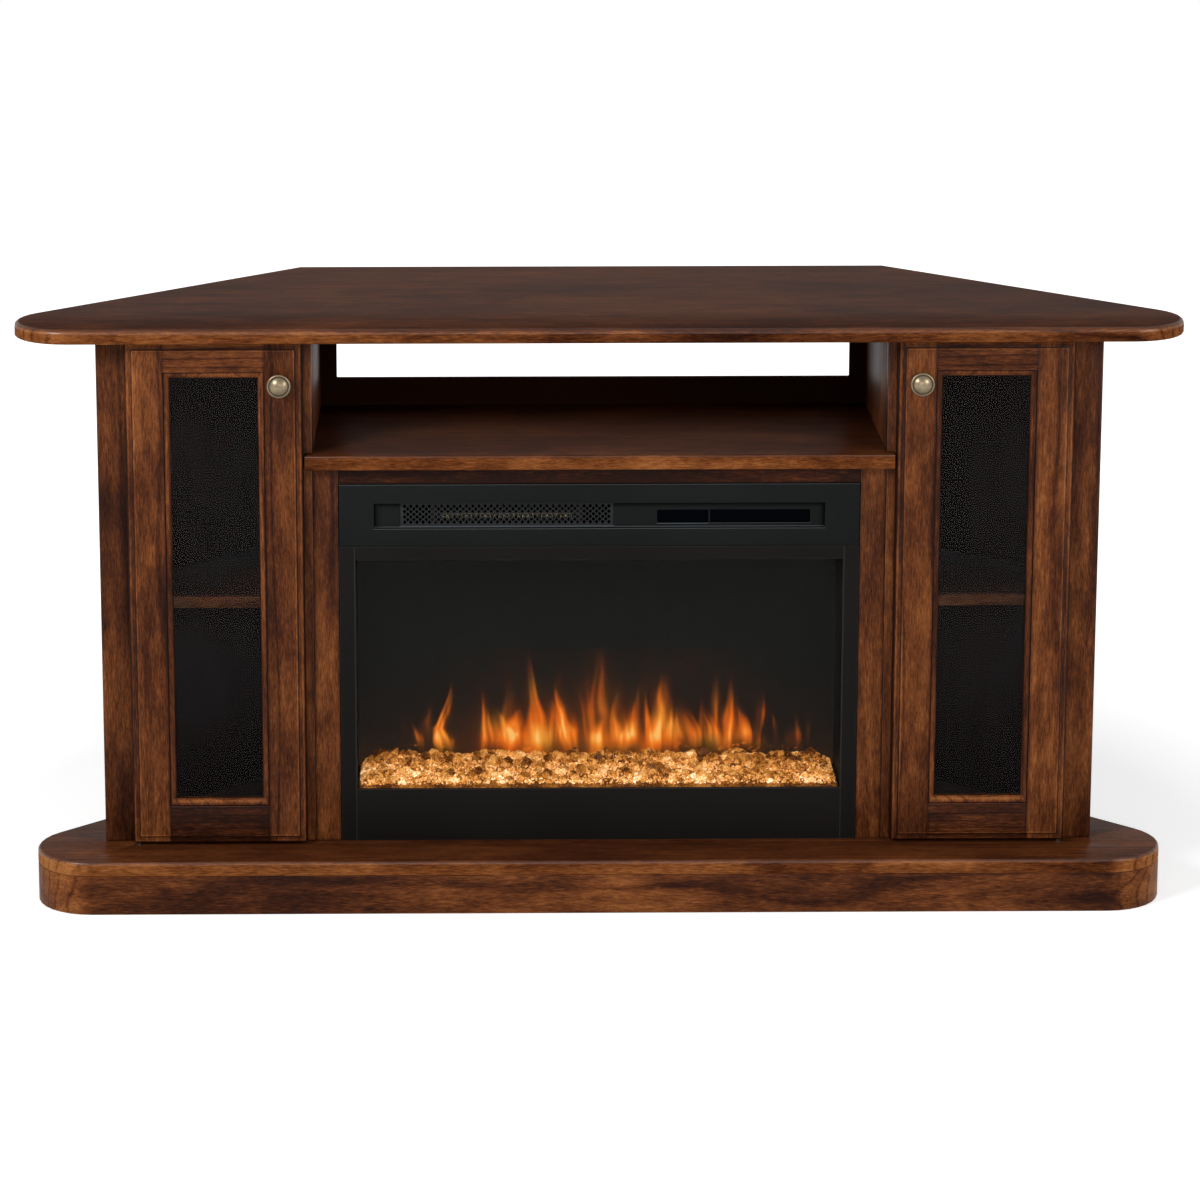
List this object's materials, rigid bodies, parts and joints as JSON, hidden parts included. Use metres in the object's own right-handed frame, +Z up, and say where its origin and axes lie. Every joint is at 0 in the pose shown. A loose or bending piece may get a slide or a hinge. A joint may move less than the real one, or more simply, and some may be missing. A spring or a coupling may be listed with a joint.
{
  "type": "corner fireplace media console",
  "caption": "Corner media console with an electric fireplace insert, an open media bay and two towers behind glazed swinging doors.",
  "frame": {"origin": "on the floor, at the centre of the overall box", "axes": "+X to the right as seen from the front, +Y from the front towards the wall, +Z up"},
  "size_m": [1.5, 0.49, 0.763],
  "materials": {
    "stained_wood": "satin lacquer over a dark reddish brown stain",
    "raw_wood": "dull stain",
    "black_steel": "matte black powder coat",
    "plated_steel": "galvanised",
    "pewter": "antique pewter, satin",
    "tinted_glass": "dark tint",
    "clear_glass": "clear",
    "screen_plastic": "half mirrored",
    "ember_glass": "crushed amber glass",
    "black_plastic": "matte",
    "white_plastic": "matte",
    "circuit_board": "green",
    "heater_fins": "bright",
    "bush_brass": "plain"
  },
  "bodies": {
    "console": {"top_board": "stained_wood", "hearth_board": "stained_wood", "base_apron": "stained_wood", "base_bearers": "raw_wood", "left_inner_panel": "stained_wood", "right_inner_panel": "stained_wood", "left_outer_panel": "stained_wood", "right_outer_panel": "stained_wood", "left_corner_back": "raw_wood", "right_corner_back": "raw_wood", "back_panel": "stained_wood", "left_outer_stile": "stained_wood", "right_outer_stile": "stained_wood", "left_inner_stile": "stained_wood", "right_inner_stile": "stained_wood", "face_rails": "stained_wood", "left_tower_shelf": "stained_wood", "right_tower_shelf": "stained_wood", "shelf_pins": "plated_steel", "media_shelf": "stained_wood", "surround_left_stile": "stained_wood", "surround_right_stile": "stained_wood", "surround_top_rail": "stained_wood", "pivot_bushes": "bush_brass", "door_catches": "black_plastic", "fascia": "black_steel", "display_lens": "black_plastic", "control_board": "circuit_board", "heater_grille": "black_steel", "heater_element": "heater_fins", "blower_housing": "plated_steel", "blower_motor": "plated_steel", "front_frame": "black_steel", "front_glass": "clear_glass", "insert_casing": "plated_steel", "chamber_liner": "black_steel", "flame_screen": "screen_plastic", "ember_tray": "black_plastic", "ember_bed": "ember_glass", "rod_bearings": "white_plastic", "flicker_motor": "plated_steel", "light_bar": "white_plastic", "power_inlet": "black_plastic", "insert_brackets": "plated_steel"},
    "left_door": {"left_door_hinge_stile": "stained_wood", "left_door_knob_stile": "stained_wood", "left_door_rails": "stained_wood", "left_door_bead": "stained_wood", "left_door_glass": "tinted_glass", "left_door_knob": "pewter", "left_door_fittings": "plated_steel"},
    "right_door": {"right_door_hinge_stile": "stained_wood", "right_door_knob_stile": "stained_wood", "right_door_rails": "stained_wood", "right_door_bead": "stained_wood", "right_door_glass": "tinted_glass", "right_door_knob": "pewter", "right_door_fittings": "plated_steel"},
    "flicker_rotor": {"flicker_rod": "heater_fins"},
    "blower_rotor": {"blower_wheel": "black_plastic"}
  },
  "joints": [
    {"name": "left_door_hinge", "type": "hinge", "parent": "console", "child": "left_door", "pos_m": [-0.601, -0.17, 0.408], "axis": [0, 0, -1], "range_deg": [0, 110]},
    {"name": "right_door_hinge", "type": "hinge", "parent": "console", "child": "right_door", "pos_m": [0.601, -0.17, 0.408], "axis": [0, 0, 1], "range_deg": [0, 110]},
    {"name": "flicker_spin", "type": "hinge", "parent": "console", "child": "flicker_rotor", "pos_m": [0, -0.005, 0.133], "axis": [1, 0, 0], "continuous": true},
    {"name": "blower_spin", "type": "hinge", "parent": "console", "child": "blower_rotor", "pos_m": [-0.1195, -0.08, 0.50175], "axis": [1, 0, 0], "continuous": true}
  ]
}
